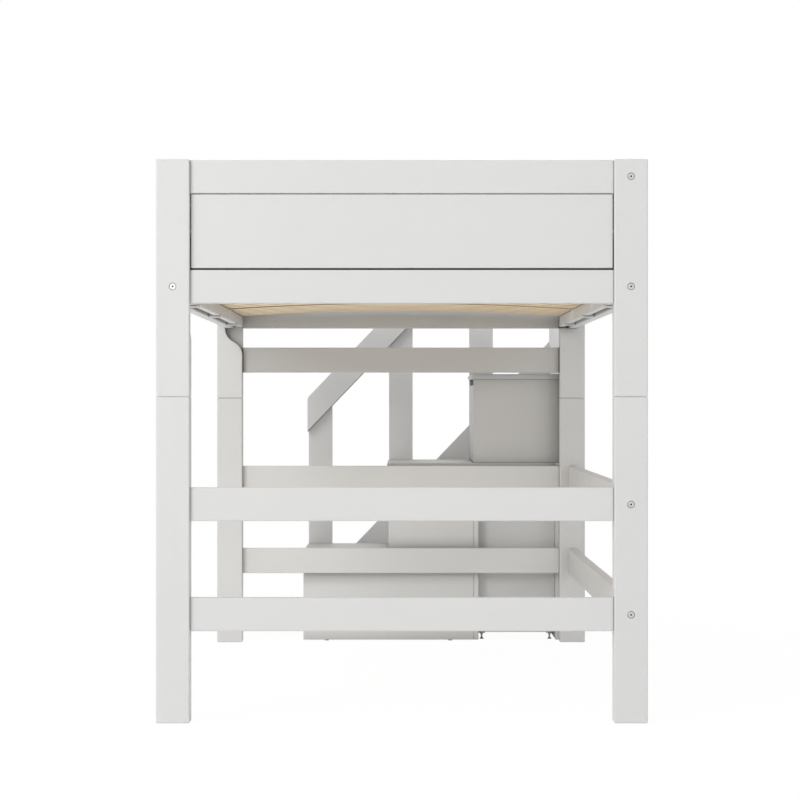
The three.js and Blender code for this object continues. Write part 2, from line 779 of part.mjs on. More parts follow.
function addHandrail() {
  const left = stairLeft - handrailOverhang;
  const slope = Math.atan(banisterSlope);
  const turn = Math.PI / 2 - slope;
  const setback = handrailCorner * Math.tan(turn / 2);
  const middle = handrailHigh(left) - setback;
  const corner = arcPoints(left + handrailCorner, middle, handrailCorner, Math.PI / 2 + slope, Math.PI);
  const outline = shapeOf([
    [left, handrailLow(left)],
    [mitreLow, landingZ[0]],
    [mitreHigh, landingZ[1]],
    ...corner,
  ]);
  addPiece('handrail', plateAcross(outline, handrailY), paint);
}

function addLandingRail() {
  const outline = shapeOf([
    [mitreLow + seatGap, landingZ[0]],
    [lastUprightRight, landingZ[0]],
    [lastUprightRight, landingZ[1]],
    [mitreHigh + seatGap, landingZ[1]],
  ]);
  addPiece('landing_rail', plateAcross(outline, handrailY), paint);
}

function addStringer() {
  const left = stairLeft;
  const right = lastUprightRight;
  const outline = shapeOf([
    [left, stringerLow(left)],
    [right, stringerLow(right)],
    [right, stringerLow(right) + banisterBoardRise],
    [left, stringerLow(left) + banisterBoardRise],
  ]);
  const y = [stringerNear, stringerNear + banisterThickness];
  addPiece('stringer', plateAcross(outline, y), paint);
}

for (const corner of corners) {
  addLowerPost(corner);
  addUpperPost(corner);
}
addNearEnd();
addFarEnd();
addGuardUpright();
addPanels();
addSideRails();
addLedgers();
for (let section = 0; section < slatCounts.length; section += 1) {
  addSlatSection(section);
}
addStairSides();
addTreads();
addStairInside();
addTopBox();
addBackPanel();
addCupboard();
addLevellingFeet();
for (let step = 1; step <= stepCount; step += 1) {
  addDrawer(step);
}
addUprights();
addHandrail();
addLandingRail();
addStringer();

export default bed;
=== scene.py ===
"""Looks of a painted high bed with a storage stair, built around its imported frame.

The CAD nodes are dressed in painted wood, lacquered birch and zinc. The small things that the frame
leaves out are modelled here: bolts in their seats, dowel tips, screws, woven tapes, glides and nuts.
Lengths are in metres, +Z is up, and +Y runs along the bed towards the stair.
"""

from __future__ import annotations

import logging
import math
from dataclasses import dataclass, field
from enum import Enum
from typing import Callable, Iterable

import bmesh
import bpy
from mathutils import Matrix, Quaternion, Vector

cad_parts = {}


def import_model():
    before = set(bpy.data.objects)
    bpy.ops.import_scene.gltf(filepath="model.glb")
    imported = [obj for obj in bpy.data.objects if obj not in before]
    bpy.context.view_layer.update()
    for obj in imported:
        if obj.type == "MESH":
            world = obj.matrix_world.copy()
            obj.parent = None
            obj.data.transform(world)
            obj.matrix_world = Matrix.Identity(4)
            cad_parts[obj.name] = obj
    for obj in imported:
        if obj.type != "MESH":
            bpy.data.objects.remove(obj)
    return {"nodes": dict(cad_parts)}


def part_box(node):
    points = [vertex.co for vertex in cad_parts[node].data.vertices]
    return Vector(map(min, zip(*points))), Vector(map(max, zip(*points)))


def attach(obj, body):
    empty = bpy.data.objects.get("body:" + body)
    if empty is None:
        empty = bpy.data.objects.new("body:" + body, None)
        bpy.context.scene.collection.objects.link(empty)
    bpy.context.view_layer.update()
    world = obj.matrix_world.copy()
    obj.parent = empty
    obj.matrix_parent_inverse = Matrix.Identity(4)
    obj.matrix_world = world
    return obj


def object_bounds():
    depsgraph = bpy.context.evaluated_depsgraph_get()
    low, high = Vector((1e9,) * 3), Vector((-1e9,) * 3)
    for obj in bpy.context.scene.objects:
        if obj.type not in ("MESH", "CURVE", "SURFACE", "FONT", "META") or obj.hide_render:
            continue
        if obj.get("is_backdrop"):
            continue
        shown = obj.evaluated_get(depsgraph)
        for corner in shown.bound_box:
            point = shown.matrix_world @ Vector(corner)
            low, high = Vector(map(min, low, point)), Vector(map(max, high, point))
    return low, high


LOG = logging.getLogger("high_bed")
FRAME_BODY = "frame"
MM = 0.001
SLACK = 0.001 * MM
CORNER_ANGLE = math.radians(35)
SQUARE_ON = 0.7
HEXAGON = 6
UPWARD = Vector((0.0, 0.0, 1.0))
MIX_FIRST_COLOUR, MIX_SECOND_COLOUR, MIX_COLOUR = 6, 7, 2
NUMBER_SOCKET, VECTOR_SOCKET = "NodeSocketFloat", "NodeSocketVector"

Triple = tuple[float, float, float]
Pair = tuple[float, float]
Steps = tuple[Pair, ...]
Node, Piece = bpy.types.Node, bpy.types.Object
Socket, Tree = bpy.types.NodeSocket, bpy.types.NodeTree


class Run(Enum):
    """The direction in which the wood of a board runs."""

    ACROSS = "x"
    ALONG = "y"
    UPRIGHT = "z"


class Facing(Enum):
    """The way a fastener's head looks, as an outward direction."""

    NEAR = (0.0, -1.0, 0.0)
    FAR = (0.0, 1.0, 0.0)
    UP = (0.0, 0.0, 1.0)
    DOWN = (0.0, 0.0, -1.0)
    LEFT = (-1.0, 0.0, 0.0)
    RIGHT = (1.0, 0.0, 0.0)


# Shader building


@dataclass
class Graph:
    """A node tree that is being built, with short ways to add and join its nodes."""

    tree: Tree

    def add(self, kind: str, inputs: dict[int | str, object] | None = None, **settings: object) -> Node:
        """Adds one node.

        Args:
            kind: The node's type name.
            inputs: What its inputs get, by their number or name.
            settings: Its properties by name.

        Returns:
            The new node.
        """
        node = self.tree.nodes.new(kind)
        for name, value in settings.items():
            setattr(node, name, value)
        for place, value in (inputs or {}).items():
            self.feed(value, node.inputs[place])
        return node

    def feed(self, value: object, target: Socket) -> None:
        """Gives an input its value.

        Args:
            value: Another node's socket, a number, a vector or a colour.
            target: The input.
        """
        if isinstance(value, Socket):
            self.tree.links.new(value, target)
        elif target.type == "RGBA":
            target.default_value = (*value, 1.0)
        else:
            target.default_value = value

    def math(self, operation: str, first: object, second: object = 0.0) -> Socket:
        """Adds a calculation with two values.

        Args:
            operation: The calculation's name.
            first: The first value, a socket or a number.
            second: The second value, a socket or a number.

        Returns:
            The result's socket.
        """
        return self.add("ShaderNodeMath", {0: first, 1: second}, operation=operation).outputs[0]

    def ramp(
        self, value: Socket, low: float, high: float, to_low: float = 0.0, to_high: float = 1.0
    ) -> Socket:
        """Maps a value from one range to another, kept inside the new range.

        Args:
            value: The value's socket.
            low: The value where the range begins.
            high: The value where it ends.
            to_low: What the beginning becomes.
            to_high: What the end becomes.

        Returns:
            The new value's socket.
        """
        limits = {1: low, 2: high, 3: to_low, 4: to_high}
        return self.add("ShaderNodeMapRange", {0: value, **limits}).outputs[0]

    def blend(self, share: Socket, first: object, second: object) -> Socket:
        """Mixes two colours by a share that changes over the surface.

        Args:
            share: The share of the second colour.
            first: The first colour, or its socket.
            second: The second colour, or its socket.

        Returns:
            The mixed colour's socket.
        """
        inputs = {0: share, MIX_FIRST_COLOUR: first, MIX_SECOND_COLOUR: second}
        return self.add("ShaderNodeMix", inputs, data_type="RGBA").outputs[MIX_COLOUR]

    def own(self) -> Socket:
        """Returns the piece's own coordinates."""
        return self.add("ShaderNodeTexCoord").outputs["Object"]

    def looks(self) -> Socket:
        """Returns the direction in which the surface looks."""
        return self.add("ShaderNodeNewGeometry").outputs["Normal"]

    def parts(self, vector: Socket) -> dict[str, Socket]:
        """Splits a vector into its three parts, by their axis letters."""
        return dict(zip("xyz", self.add("ShaderNodeSeparateXYZ", {0: vector}).outputs))

    def place(self, scale: Triple = (1.0, 1.0, 1.0)) -> Socket:
        """Returns the piece's own coordinates, squeezed by a scale along each axis."""
        return self.add("ShaderNodeMapping", {"Vector": self.own(), "Scale": scale}).outputs[0]

    def noise(self, vector: Socket, **values: float) -> Socket:
        """Adds a cloudy pattern.

        Args:
            vector: The coordinates that it is drawn on.
            values: Its other inputs, by their names in small letters.

        Returns:
            The pattern's socket.
        """
        inputs = {name.capitalize(): value for name, value in values.items()}
        return self.add("ShaderNodeTexNoise", {"Vector": vector, **inputs}).outputs["Fac"]

    def relief(self, height: Socket, strength: float, depth: float, **over: Socket) -> Socket:
        """Adds fine relief to a surface.

        Args:
            height: The relief's height.
            strength: How strongly it shows.
            depth: Its depth in metres.
            over: The Normal that it is laid over, if it isn't the surface's own.

        Returns:
            The socket of the new direction.
        """
        inputs = {"Height": height, "Strength": strength, "Distance": depth, **over}
        return self.add("ShaderNodeBump", inputs).outputs[0]

    def shared(self, name: str, **inputs: object) -> bpy.types.NodeOutputs:
        """Adds a shared group with its inputs by name, and returns its outputs."""
        return self.add("ShaderNodeGroup", inputs, node_tree=SHARED[name]).outputs

    def put_out(self, kind: str, lighting: Node, seen: Node, share: object) -> None:
        """Ends a tree that shows the camera another shader than it gives the light.

        Args:
            kind: The type name of the tree's output node.
            lighting: The shader for the light.
            seen: The shader for the camera.
            share: How much of it the camera sees.
        """
        to_camera = self.add("ShaderNodeLightPath").outputs["Is Camera Ray"]
        shares = self.math("MULTIPLY", to_camera, share)
        mix = self.add("ShaderNodeMixShader", {0: shares, 1: lighting.outputs[0], 2: seen.outputs[0]})
        self.add(kind, {0: mix.outputs[0]})


@dataclass
class Group:
    """A shader group that is being built."""

    graph: Graph
    start: Node
    end: Node

    @classmethod
    def new(cls, name: str, inputs: dict[str, float | None], outputs: Iterable[str]) -> Group:
        """Makes an empty shader group with named sockets.

        Args:
            name: The group's name.
            inputs: The first value of each numeric input by its name, or None for a vector.
            outputs: The names of the outputs, of which Normal is a vector.

        Returns:
            The group.
        """
        graph = Graph(bpy.data.node_groups.new(name, "ShaderNodeTree"))
        for label, value in inputs.items():
            kind = VECTOR_SOCKET if value is None else NUMBER_SOCKET
            socket = graph.tree.interface.new_socket(name=label, in_out="INPUT", socket_type=kind)
            if value is not None:
                socket.default_value = value
        for label in outputs:
            kind = VECTOR_SOCKET if label == "Normal" else NUMBER_SOCKET
            graph.tree.interface.new_socket(name=label, in_out="OUTPUT", socket_type=kind)
        return cls(graph, graph.add("NodeGroupInput"), graph.add("NodeGroupOutput"))

    def give(self, name: str) -> Socket:
        """Returns one of the group's inputs, as its inside sees it."""
        return self.start.outputs[name]

    def close(self, **outputs: Socket) -> Tree:
        """Puts values out of the group.

        Args:
            outputs: The values by the outputs' names.

        Returns:
            The group's tree.
        """
        for name, value in outputs.items():
            self.graph.feed(value, self.end.inputs[name])
        return self.graph.tree


def eased_edge_group() -> Tree:
    """Makes the group that rounds edges in the light and marks them.

    Returns:
        The group, with Radius in, and Normal and Edge out.
    """
    group = Group.new("eased_edge", {"Radius": 0.002}, ("Normal", "Edge"))
    graph = group.graph
    rounded = graph.add("ShaderNodeBevel", {"Radius": group.give("Radius")}, samples=6).outputs[0]
    both = {0: rounded, 1: graph.looks()}
    turned = graph.add("ShaderNodeVectorMath", both, operation="DOT_PRODUCT").outputs["Value"]
    return group.close(Normal=rounded, Edge=graph.ramp(turned, low=0.995, high=0.75))


def seam_shade_group() -> Tree:
    """Makes the group that measures ambient occlusion, for the painted shade in narrow seams and hollows
    between boards that meet.

    Returns:
        The group, with Reach in, and out the share of painted shade.
    """
    group = Group.new("seam_shade", {"Reach": 0.005}, ("Seam",))
    near = {"Distance": group.give("Reach")}
    light = group.graph.add("ShaderNodeAmbientOcclusion", near, samples=4).outputs["AO"]
    return group.close(Seam=group.graph.ramp(light, low=0.92, high=0.45))


def paint_film_group() -> Tree:
    """Makes the group for a sprayed paint film over planed wood.

    Returns:
        The group, with Vector, Stretched, Grain and Spray in, and Tone and Height out.
    """
    inputs = {"Vector": None, "Stretched": None, "Grain": 1.0, "Spray": 1.0}
    group = Group.new("paint_film", inputs, ("Tone", "Height"))
    graph = group.graph
    broad = graph.noise(group.give("Vector"), scale=2.2, detail=2.0)
    grain = graph.noise(group.give("Stretched"), scale=60.0, detail=4.0, roughness=0.6)
    spray = graph.noise(group.give("Vector"), scale=700.0, detail=1.0)
    grain_height = graph.math("MULTIPLY", grain, group.give("Grain"))
    spray_height = graph.math("MULTIPLY", spray, group.give("Spray"))
    streaks = graph.ramp(grain, low=0.3, high=0.7, to_high=0.35)
    clouds = graph.ramp(broad, low=0.35, high=0.65, to_high=0.65)
    height = graph.math("ADD", grain_height, spray_height)
    return group.close(Tone=graph.math("ADD", streaks, clouds), Height=height)


def wood_figure_group() -> Tree:
    """Makes the group for the figure of bare wood, which runs along its stretched vector.

    Returns:
        The group, with Stretched in, and Figure, Pores and Height out.
    """
    group = Group.new("wood_figure", {"Stretched": None}, ("Figure", "Pores", "Height"))
    graph = group.graph
    stretched = group.give("Stretched")
    figure = graph.noise(stretched, scale=9.0, detail=5.0, roughness=0.62, distortion=0.6)
    pores = graph.ramp(graph.noise(stretched, scale=95.0, detail=3.0), low=0.58, high=0.72)
    height = graph.math("SUBTRACT", figure, pores)
    return group.close(Figure=graph.ramp(figure, low=0.32, high=0.68), Pores=pores, Height=height)


# Finishes


@dataclass(frozen=True)
class Finish:
    """What every finish has in common: a name, a colour and a roughness."""

    name: str
    colour: Triple
    roughness: float

    def material(self) -> bpy.types.Material:
        """Makes the finish's material, unless it is there already.

        Returns:
            The material.
        """
        known = bpy.data.materials.get(self.name)
        if known is not None:
            return known
        material = bpy.data.materials.new(self.name)
        material.use_nodes = True
        graph = Graph(material.node_tree)
        shader = material.node_tree.nodes["Principled BSDF"]
        plain = {"Base Color": self.colour, "Roughness": self.roughness}
        for name, value in (*plain.items(), *self.build(graph).items()):
            graph.feed(value, shader.inputs[name])
        return material

    def build(self, graph: Graph) -> dict[str, object]:
        """Adds the finish's own nodes, and returns what the shader's inputs get from them."""
        raise NotImplementedError

    def shade(self, share: float) -> Triple:
        """Returns the finish's colour times a share."""
        return tuple(min(1.0, part * share) for part in self.colour)

    def shades(self, graph: Graph, share: Socket, tones: Pair) -> Socket:
        """Blends two tones of the finish's colour by a share that changes."""
        return graph.blend(share, self.shade(tones[0]), self.shade(tones[1]))

    def rough(self, changes: Pair) -> Pair:
        """Returns the finish's roughness after each of two changes."""
        return self.roughness + changes[0], self.roughness + changes[1]


def stretch(run: Run, squeeze: float, slack: float) -> Triple:
    """Gives the scale of a pattern that is drawn out along the wood."""
    return tuple(slack if run.value == axis else squeeze for axis in "xyz")


@dataclass(frozen=True)
class PaintedWood(Finish):
    """Satin paint on wood: a faint grain, and softened edges with a painted highlight.

    It carries painted shade where ambient occlusion finds boards close together: the same painted shade at
    two reaches, the shorter in the seams and the longer in the hollows of boards in shelter.
    """

    run: Run = Run.ACROSS
    edge: float = 2.2 * MM
    # Painted shade in the seams and hollows: reach, share in the corner, and the colour share it darkens to
    seam_shade_reach: float = 5.0 * MM
    seam_depth: float = 0.05
    seam_shade_dark: float = 0.12
    hollow_shade_reach: float = 50.0 * MM
    hollow_depth: float = 0.0
    grain: float = 0.6
    grain_slack: float = 0.035
    spray: float = 0.12
    tones: Pair = (0.985, 1.01)
    # Painted highlight: eased edges are lightened, as if they caught the light
    painted_edge_highlight: float = 1.04
    painted_edge_highlight_share: float = 0.5
    relief: Pair = (0.10, 0.4 * MM)
    gloss: Pair = (0.05, -0.04)
    sheen: float = 0.4

    def build(self, graph: Graph) -> dict[str, object]:
        """Adds grain, spray, softened edges with a painted highlight, and painted shade at seams and
        hollows.

        Args:
            graph: The material's tree.

        Returns:
            What the shader's inputs get.
        """
        along = graph.place(stretch(self.run, 1.0, self.grain_slack))
        vectors = {"Vector": graph.place(), "Stretched": along}
        film = graph.shared("paint_film", Grain=self.grain, Spray=self.spray, **vectors)
        edges = graph.shared("eased_edge", Radius=self.edge)
        tone = self.shades(graph, film["Tone"], self.tones)
        # Painted highlight along the eased edges
        painted_edge_highlight = graph.ramp(edges["Edge"], 0.0, 1.0, to_high=self.painted_edge_highlight_share)
        colour = graph.blend(painted_edge_highlight, tone, self.shade(self.painted_edge_highlight))
        # Painted shade in the seams, and for boards in shelter also in the hollows
        colour = self.shaded(graph, colour, self.seam_shade_reach, self.seam_depth)
        if self.hollow_depth > 0.0:
            colour = self.shaded(graph, colour, self.hollow_shade_reach, self.hollow_depth)
        return {
            "Base Color": self.finished(graph, colour),
            "Roughness": graph.ramp(film["Tone"], 0.0, 1.0, *self.rough(self.gloss)),
            "Normal": graph.relief(film["Height"], *self.relief, Normal=edges["Normal"]),
            "Specular IOR Level": self.sheen,
        }

    def shaded(self, graph: Graph, colour: Socket, reach: float, depth: float) -> Socket:
        """Paints shade onto the paint close to where boards meet, by ambient occlusion.

        Args:
            graph: The material's tree.
            colour: The paint's colour.
            reach: How far from the other board the shade begins.
            depth: The share of the shade in the corner itself.

        Returns:
            The shaded colour.
        """
        seam = graph.shared("seam_shade", Reach=reach)["Seam"]
        return graph.blend(graph.ramp(seam, 0.0, 1.0, to_high=depth), colour, self.shade(self.seam_shade_dark))

    def finished(self, graph: Graph, colour: Socket) -> Socket:
        """Returns the paint's colour as it is; other painted finishes change it here."""
        return colour


@dataclass(frozen=True)
class GroovedPaint(PaintedWood):
    """Paint on a guard panel, with painted shade on the thin tongue in the groove round the field."""

    # Painted shade in the groove: nearly black below, lighter grey in the upper half
    groove: Triple = (0.035, 0.035, 0.034)
    groove_top_shade: Triple = (0.60, 0.60, 0.59)
    across: Run = Run.ALONG
    middle: float = 0.0
    outward: float = -1.0
    behind: float = 1.5 * MM
    field_middle: float = 1.32115
    fade: float = 20.0 * MM

    def finished(self, graph: Graph, colour: Socket) -> Socket:
        """Paints shade on the outer face of the tongue, darker in its lower half.

        Args:
            graph: The material's tree.
            colour: The paint's colour.

        Returns:
            The colour with the painted shade in the groove.
        """
        own = graph.parts(graph.own())
        deep = graph.math("SUBTRACT", self.middle, own[self.across.value])
        sunk = graph.math("GREATER_THAN", graph.math("MULTIPLY", deep, self.outward), self.behind)
        outer = graph.math("MULTIPLY", graph.parts(graph.looks())[self.across.value], self.outward)
        mask = graph.math("MULTIPLY", sunk, graph.math("GREATER_THAN", outer, SQUARE_ON))
        upper = graph.ramp(own["z"], self.field_middle - self.fade, self.field_middle + self.fade)
        return graph.blend(mask, colour, graph.blend(upper, self.groove, self.groove_top_shade))


@dataclass(frozen=True)
class RailPaint(PaintedWood):
    """Paint on the sloping handrail, with a band of painted shade along its eased lower edge, which faces
    down.
    """

    downward: Pair = (0.7, -0.7)
    reach: float = 0.0
    width: float = 3.4 * MM
    # Share of the colour in the band of painted shade
    dark: float = 0.32

    def finished(self, graph: Graph, colour: Socket) -> Socket:
        """Paints a thin band of shade along the lower edge.

        Args:
            graph: The material's tree.
            colour: The paint's colour.

        Returns:
            The colour with the strip.
        """
        both = {0: graph.own(), 1: (self.downward[0], 0.0, self.downward[1])}
        down = graph.add("ShaderNodeVectorMath", both, operation="DOT_PRODUCT").outputs["Value"]
        shade_strip = graph.ramp(down, self.reach - self.width, self.reach - self.width / 2)
        return graph.blend(shade_strip, colour, self.shade(self.dark))


@dataclass(frozen=True)
class BentBirch(Finish):
    """Lacquered birch veneers, bent: a pale figure on the faces, and thin plies over painted shade on the
    long edges.

    The radius and the centre are those of the slats' arch.
    """

    dark: Triple = (0.52, 0.37, 0.20)
    # Dark brown of the long edges, which is mostly painted shade with the plies drawn in it
    edge: Triple = (0.26, 0.18, 0.10)
    squeeze: float = 6.0
    slack: float = 0.35
    tones: Pair = (1.0, 0.96)
    pore_share: float = 0.2
    radius: float = 8.588
    centre: float = -7.3987
    thickness: float = 10.0 * MM
    plies: int = 7
    ply_line_and_shade: tuple[float, ...] = (0.2, 0.6, 0.8, 1.0)
    relief: Pair = (0.22, 0.4 * MM)
    gloss: Pair = (-0.05, 0.08)

    def build(self, graph: Graph) -> dict[str, object]:
        """Adds figure, pores and plies.

        Args:
            graph: The material's tree.

        Returns:
            What the shader's inputs get.
        """
        along = graph.place(stretch(Run.ACROSS, self.squeeze, self.slack))
        wood = graph.shared("wood_figure", Stretched=along)
        figure = self.shades(graph, wood["Figure"], self.tones)
        pored = graph.blend(graph.ramp(wood["Pores"], 0.0, 1.0, to_high=self.pore_share), figure, self.dark)
        return {
            "Base Color": graph.blend(self.ply_lines_and_shade(graph), pored, self.edge),
            "Roughness": graph.ramp(wood["Figure"], 0.0, 1.0, *self.rough(self.gloss)),
            "Normal": graph.relief(wood["Height"], *self.relief),
        }

    def ply_lines_and_shade(self, graph: Graph) -> Socket:
        """Marks the dark plies on the faces that look along the bed, over painted shade that darkens these
        faces as a whole.

        Args:
            graph: The material's tree.

        Returns:
            The socket of the mask.
        """
        own = graph.parts(graph.own())
        inside = graph.math("SUBTRACT", self.radius**2, graph.math("MULTIPLY", own["x"], own["x"]))
        arch = graph.math("ADD", graph.math("SQRT", inside), self.centre)
        turns = math.tau * self.plies / 2 / self.thickness
        above = graph.math("MULTIPLY", graph.math("SUBTRACT", own["z"], arch), turns)
        line = graph.ramp(graph.math("SINE", above), *self.ply_line_and_shade)
        side = graph.math("ABSOLUTE", graph.parts(graph.looks())["y"])
        return graph.math("MULTIPLY", line, graph.math("GREATER_THAN", side, SQUARE_ON))


@dataclass(frozen=True)
class PlatedSteel(Finish):
    """Dull zinc on turned steel: fine scratches and a slight bloom."""

    metal: float = 0.9
    tones: Pair = (0.85, 1.15)
    relief: Pair = (0.15, 0.2 * MM)
    gloss: Pair = (-0.08, 0.1)
    limits: Pair = (0.3, 0.7)

    def build(self, graph: Graph) -> dict[str, object]:
        """Adds bloom and scratches.

        Args:
            graph: The material's tree.

        Returns:
            What the shader's inputs get.
        """
        bloom = graph.noise(graph.place(), scale=240.0, detail=3.0)
        return {
            "Base Color": self.shades(graph, bloom, self.tones),
            "Metallic": self.metal,
            "Roughness": graph.ramp(bloom, *self.limits, *self.rough(self.gloss)),
            "Normal": graph.relief(bloom, *self.relief),
        }


@dataclass(frozen=True)
class MouldedPlastic(Finish):
    """Plain moulded plastic with a fine spark-eroded skin."""

    fineness: float = 1800.0
    tones: Pair = (0.92, 1.05)
    relief: Pair = (0.12, 0.1 * MM)

    def build(self, graph: Graph) -> dict[str, object]:
        """Adds the fine skin.

        Args:
            graph: The material's tree.

        Returns:
            What the shader's inputs get.
        """
        inputs = {"Vector": graph.place(), "Scale": self.fineness}
        skin = graph.add("ShaderNodeTexVoronoi", inputs).outputs["Distance"]
        return {
            "Base Color": self.shades(graph, skin, self.tones),
            "Normal": graph.relief(skin, *self.relief),
        }


@dataclass(frozen=True)
class WovenTape(Finish):
    """A plain-woven cotton tape: crossing yarns that catch the light."""

    yarns: float = 1500.0
    tones: Pair = (0.78, 1.0)
    relief: Pair = (0.5, 0.3 * MM)

    def build(self, graph: Graph) -> dict[str, object]:
        """Adds the weave.

        Args:
            graph: The material's tree.

        Returns:
            What the shader's inputs get.
        """
        own = graph.parts(graph.own())
        turns = self.yarns * math.tau / 2
        warp, weft = (graph.math("SINE", graph.math("MULTIPLY", own[axis], turns)) for axis in "xy")
        weave = graph.ramp(graph.math("MULTIPLY", warp, weft), -1.0, 1.0)
        return {
            "Base Color": self.shades(graph, weave, self.tones),
            "Normal": graph.relief(weave, *self.relief),
        }


def by_run(label: str, colour: Triple, **changes: float) -> dict[Run, PaintedWood]:
    """Makes a paint for each direction of the wood.

    Args:
        label: The start of the paints' names.
        colour: Their colour.
        changes: Other values of the finish, by name.

    Returns:
        The paints by direction.
    """
    return {run: PaintedWood(f"{label}_{run.name.lower()}", colour, SATIN, run, **changes) for run in Run}


SHARED: dict[str, Tree] = {}
SATIN = 0.42
WHITE = (0.62, 0.62, 0.615)
# Painted light: the banister's white is lighter than the bed's, to stand in for the stronger light that
# falls on it
BANISTER_LIT_WHITE = (0.75, 0.75, 0.745)
# Painted shade: a darker copy of the white for the rails deep under the deck, standing in for the shade
# there
DEEP_SHADE_WHITE = (0.53, 0.53, 0.525)
PAINT = by_run("white_paint", WHITE)
BANISTER_LIT_PAINT = by_run("banister_lit_paint", BANISTER_LIT_WHITE)
# The same white with strong painted shade in seams and hollows, for boards under the deck and in the stair
SHELTERED_SHADE_PAINT = by_run("sheltered_shade_paint", WHITE, seam_depth=0.85, hollow_depth=0.4)
# Its painted shade in seams and hollows reaches far, darkening the rail close under the slats
DEEP_SHADE_PAINT = PaintedWood(
    "deep_shade_paint", DEEP_SHADE_WHITE, SATIN, Run.ACROSS, seam_depth=0.85, hollow_shade_reach=0.1, hollow_depth=0.45
)
BIRCH = BentBirch("bent_birch", (0.97, 0.795, 0.54), 0.45)
ZINC = PlatedSteel("zinc_plate", (0.62, 0.62, 0.61), 0.5, 0.5)
# Dark steel for the ledger screws, and for the discs of painted shade in the bolts' sockets
DARK_STEEL = PlatedSteel("dark_steel", (0.09, 0.09, 0.09), 0.5, 0.6)
DULL_ZINC = PlatedSteel("dull_zinc", (0.40, 0.40, 0.39), 0.45)
WHITE_CAP = MouldedPlastic("white_lacquer", (0.86, 0.86, 0.85), 0.3)
GREY_GLIDE = MouldedPlastic("grey_glide", (0.16, 0.16, 0.16), 0.55)
TAPE = WovenTape("cotton_tape", (0.72, 0.68, 0.58), 0.9)


# Modelling by operators


def take(piece: Piece) -> None:
    """Makes a piece the only one selected, and the active one.

    Args:
        piece: The piece.
    """
    for item in bpy.context.selected_objects:
        item.select_set(False)
    piece.select_set(True)
    bpy.context.view_layer.objects.active = piece


def inset_faces(
    piece: Piece, wanted: Callable[[bmesh.types.BMFace], bool], width: float, rise: float
) -> None:
    """Insets the wanted faces of a piece.

    Args:
        piece: The piece.
        wanted: Says whether a face is wanted.
        width: The inset's width.
        rise: How far the faces rise.
    """
    take(piece)
    bpy.ops.object.mode_set(mode="EDIT")
    bpy.ops.mesh.select_mode(type="FACE")
    bpy.ops.mesh.select_all(action="DESELECT")
    mesh = bmesh.from_edit_mesh(piece.data)
    for face in mesh.faces:
        face.select_set(bool(wanted(face)))
    mesh.select_flush_mode()
    bmesh.update_edit_mesh(piece.data)
    bpy.ops.mesh.inset(thickness=width, depth=rise)
    bpy.ops.object.mode_set(mode="OBJECT")


def apply_place(piece: Piece) -> None:
    """Moves a piece's place into its mesh."""
    take(piece)
    bpy.ops.object.transform_apply(location=True, rotation=True, scale=True)


def apply_bevel(piece: Piece, width: float, segments: int = 2) -> None:
    """Rounds a piece's sharp edges.

    Args:
        piece: The piece.
        width: The width of the rounding.
        segments: How many strips it has.
    """
    take(piece)
    bevel = piece.modifiers.new("rounding", "BEVEL")
    bevel.width = width
    bevel.segments = segments
    bevel.limit_method = "ANGLE"
    bevel.angle_limit = CORNER_ANGLE
    bpy.ops.object.modifier_apply(modifier=bevel.name)


def cut_with(piece: Piece, cutter: Piece) -> None:
    """Cuts one piece by another, which is then removed.

    Args:
        piece: The piece that is cut.
        cutter: The piece that cuts it.
    """
    take(piece)
    cut = piece.modifiers.new("cut", "BOOLEAN")
    cut.operation = "DIFFERENCE"
    cut.solver = "EXACT"
    cut.object = cutter
    bpy.ops.object.modifier_apply(modifier=cut.name)
    bpy.data.objects.remove(cutter)


def copy_to(piece: Piece, name: str, shift: Vector) -> Piece:
    """Copies a piece with its own mesh.

    Args:
        piece: The finished piece.
        name: The copy's name.
        shift: How far the copy lies from the piece.

    Returns:
        The copy, with its place in its mesh.
    """
    take(piece)
    bpy.ops.object.duplicate(linked=False)
    copy = bpy.context.active_object
    copy.name = name
    bpy.ops.transform.translate(value=shift)
    apply_place(copy)
    return copy


def hand_over(piece: Piece, finish: Finish, body: str = FRAME_BODY) -> None:
    """Dresses a finished piece and lets it ride on its body.

    Args:
        piece: The finished piece.
        finish: Its finish.
        body: The body that carries it.
    """
    piece.data.materials.clear()
    piece.data.materials.append(finish.material())
    take(piece)
    bpy.ops.object.shade_smooth_by_angle(angle=CORNER_ANGLE)
    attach(piece, body)
    LOG.info("%s rides on %s", piece.name, body)


def add_cube(name: str, middle: Vector, size: Vector, turn: Quaternion | None = None) -> Piece:
    """Adds a square blank.

    Args:
        name: The blank's name.
        middle: Its middle.
        size: Its three sides.
        turn: How it is turned, if it is.

    Returns:
        The blank, with its place in its mesh.
    """
    bpy.ops.mesh.primitive_cube_add(size=1.0, location=middle)
    blank = bpy.context.active_object
    blank.name = name
    blank.scale = size
    if turn is not None:
        blank.rotation_mode = "QUATERNION"
        blank.rotation_quaternion = turn
    apply_place(blank)
    return blank


def add_disc(name: str, radius: float, depth: float, front: Vector, facing: Facing, sides: int) -> Piece:
    """Adds a round blank whose front face is at a point and looks a given way.

    Args:
        name: The blank's name.
        radius: Its radius.
        depth: Its thickness behind the front face.
        front: The middle of its front face.
        facing: The way it looks.
        sides: The number of its sides.

    Returns:
        The blank.
    """
    out = Vector(facing.value)
    turn = UPWARD.rotation_difference(out).to_euler()
    bpy.ops.mesh.primitive_cylinder_add(
        vertices=sides, radius=radius, depth=depth, location=front - out * depth / 2, rotation=turn
    )
    blank = bpy.context.active_object
    blank.name = name
    apply_place(blank)
    return blank


def crown(piece: Piece, facing: Facing, steps: Steps) -> None:
    """Crowns a blank's front face by insets that rise.

    Args:
        piece: The blank.
        facing: The way its front looks.
        steps: Width and rise of each inset.
    """
    out = Vector(facing.value)
    for width, rise in steps:
        reach = max(vertex.co.dot(out) for vertex in piece.data.vertices) - SLACK
        inset_faces(piece, lambda face: face.calc_center_median().dot(out) > reach, width, rise)


